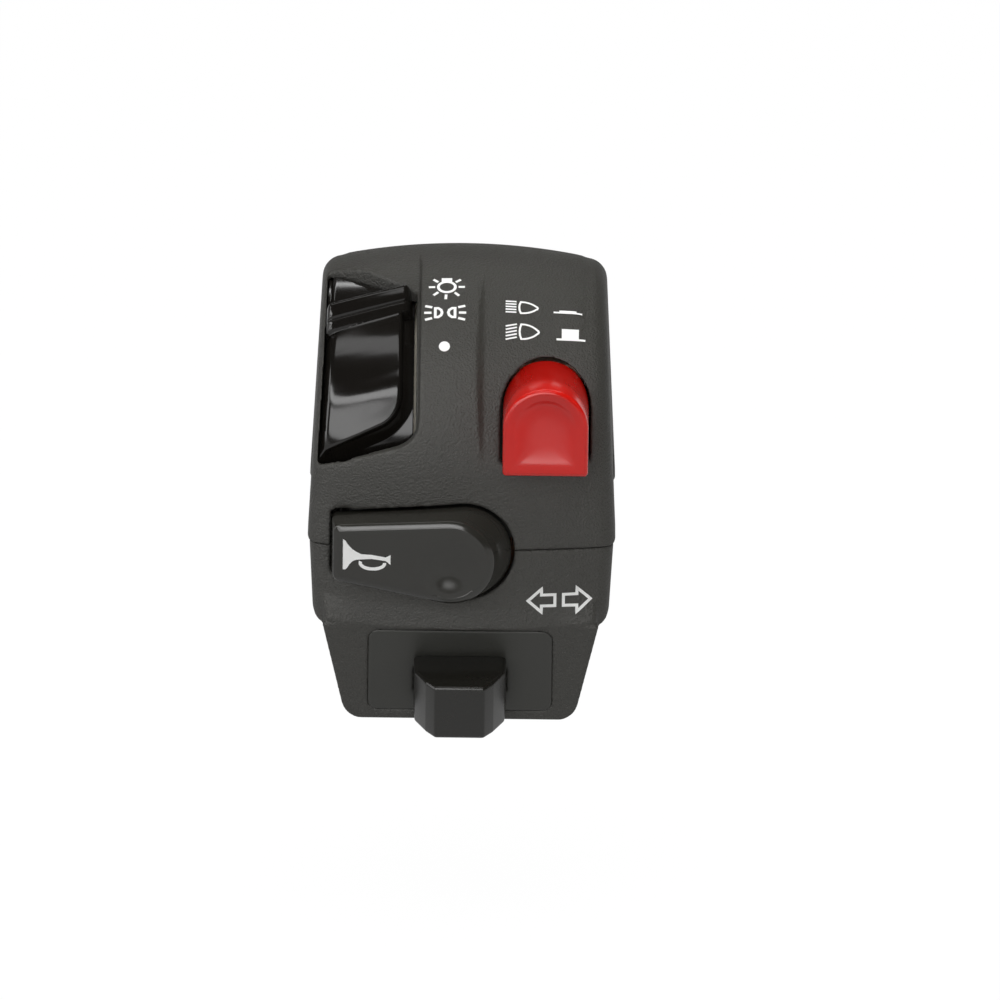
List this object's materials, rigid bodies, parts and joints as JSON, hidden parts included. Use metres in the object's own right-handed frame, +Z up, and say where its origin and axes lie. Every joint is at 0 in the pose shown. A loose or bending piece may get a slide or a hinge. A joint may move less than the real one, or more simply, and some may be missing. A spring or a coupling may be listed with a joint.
{
  "type": "handlebar switch cluster",
  "caption": "Left handlebar switch cluster for a motorbike: two-piece housing round a 22 mm bar, sliding light lever, red beam button, horn paddle and turn slider",
  "frame": {"origin": "Centre of the handlebar bore, half way along it, on the seam between the housing halves", "axes": "+X along the bar to the rider's right, +Z up, -Y towards the rider"},
  "size_m": [0.047, 0.0496, 0.0681],
  "materials": {
    "housing": "fine matte moulded texture",
    "lever_gloss": "smooth glossy black moulding",
    "paddle_gloss": "smooth glossy black moulding",
    "slider_gloss": "satin black moulding",
    "button_red": "smooth red moulding",
    "carrier_nylon": "plain nylon moulding",
    "phenolic": "cut laminate board",
    "contact_brass": "stamped brass",
    "spring_steel": "drawn and stamped spring steel",
    "screw_steel": "zinc plated steel",
    "grommet_rubber": "moulded rubber"
  },
  "bodies": {
    "housing": {"upper_housing": "housing", "lower_housing": "housing", "clamp_screws": "screw_steel", "cable_grommet": "grommet_rubber", "switch_carrier": "carrier_nylon", "carrier_screws": "screw_steel", "light_fixed_contacts": "contact_brass", "beam_return_spring": "spring_steel", "beam_latch_wire": "spring_steel", "beam_contact_plate": "phenolic", "beam_fixed_contacts": "contact_brass", "horn_pivot_pin": "screw_steel", "horn_contact_blade": "contact_brass", "horn_contact_base": "phenolic", "horn_fixed_contact": "contact_brass", "horn_base_screws": "screw_steel", "turn_panel": "housing", "turn_contact_base": "phenolic", "turn_fixed_contacts": "contact_brass", "turn_base_screws": "screw_steel"},
    "light_switch": {"light_lever": "lever_gloss", "light_keeper": "carrier_nylon", "light_contact_bridge": "contact_brass", "light_detent_leaf": "spring_steel"},
    "beam_switch": {"beam_button": "button_red", "beam_contact_bridge": "contact_brass"},
    "horn": {"horn_paddle": "paddle_gloss"},
    "turn_switch": {"turn_slider": "slider_gloss", "turn_carriage": "carrier_nylon", "turn_contact_bridge": "contact_brass", "turn_detent_leaf": "spring_steel"}
  },
  "joints": [
    {"name": "light_slide", "type": "hinge", "parent": "housing", "child": "light_switch", "pos_m": [0, 0.005, 0.0113], "axis": [1, 0, 0], "range_deg": [0, 24]},
    {"name": "beam_press", "type": "slide", "parent": "housing", "child": "beam_switch", "axis": [0, 1, 0], "range_m": [0, 0.0038], "stiffness_N_per_m": 1500, "springref_m": -0.001, "deforming": ["beam_return_spring"]},
    {"name": "horn_press", "type": "hinge", "parent": "housing", "child": "horn", "pos_m": [-0.0177, -0.0181, 0], "axis": [0, 0, 1], "range_deg": [0, 6], "stiffness_Nm_per_rad": 0.8, "springref_deg": -1.15, "deforming": ["horn_contact_blade"]},
    {"name": "turn_slide", "type": "slide", "parent": "housing", "child": "turn_switch", "axis": [1, 0, 0], "range_m": [-0.005, 0.005]}
  ]
}
